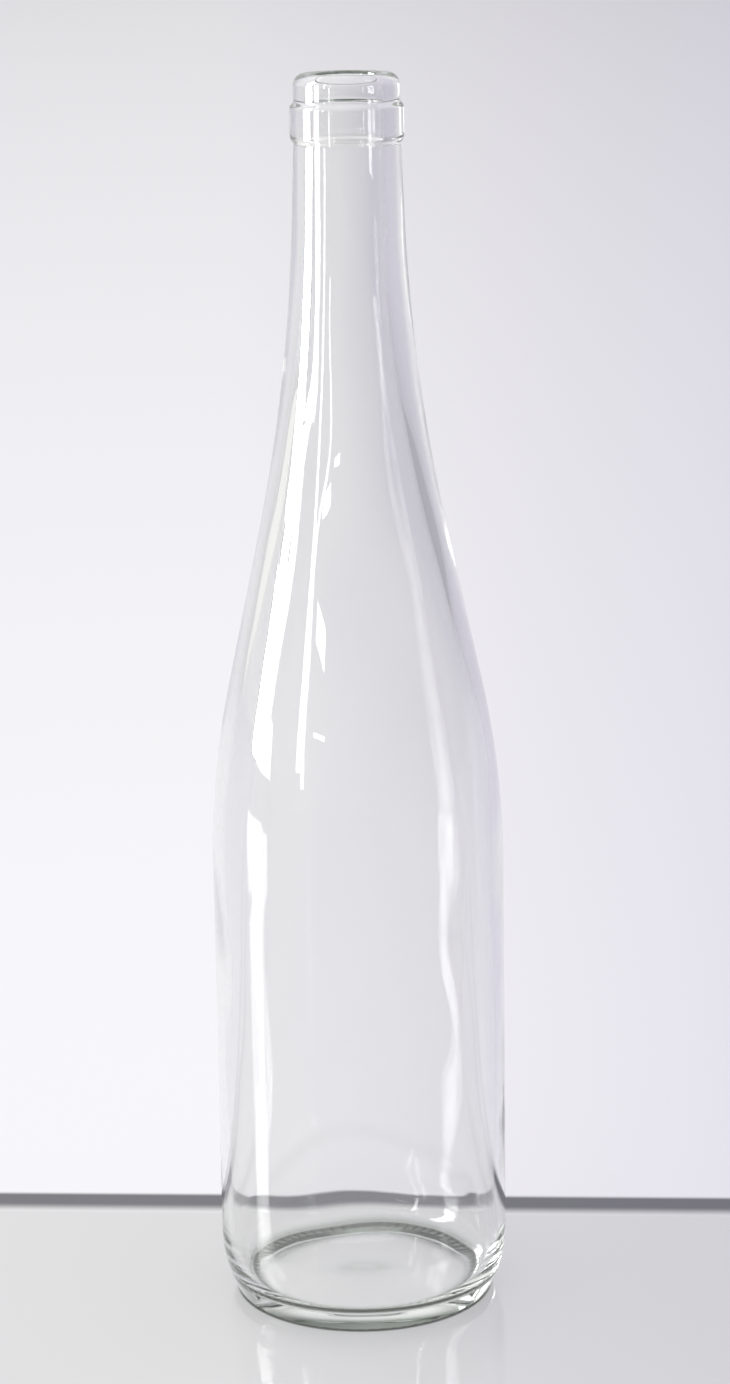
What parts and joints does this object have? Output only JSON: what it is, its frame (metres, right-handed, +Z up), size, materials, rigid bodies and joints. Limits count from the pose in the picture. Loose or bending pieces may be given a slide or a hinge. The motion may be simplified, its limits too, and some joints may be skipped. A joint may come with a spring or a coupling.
{
  "type": "wine bottle",
  "caption": "Empty clear-glass hock bottle with a long tapering neck, sloping shoulders, a straight body and a plain band under the lip.",
  "frame": {"origin": "centre of the base, on the level it stands on", "axes": "+Z up along the bottle's axis, from the base to the mouth"},
  "size_m": [0.0776, 0.0776, 0.328],
  "materials": {
    "glass": "clear flint glass, moulded, glossy"
  },
  "bodies": {
    "root": {"bottle": "glass"}
  },
  "joints": []
}
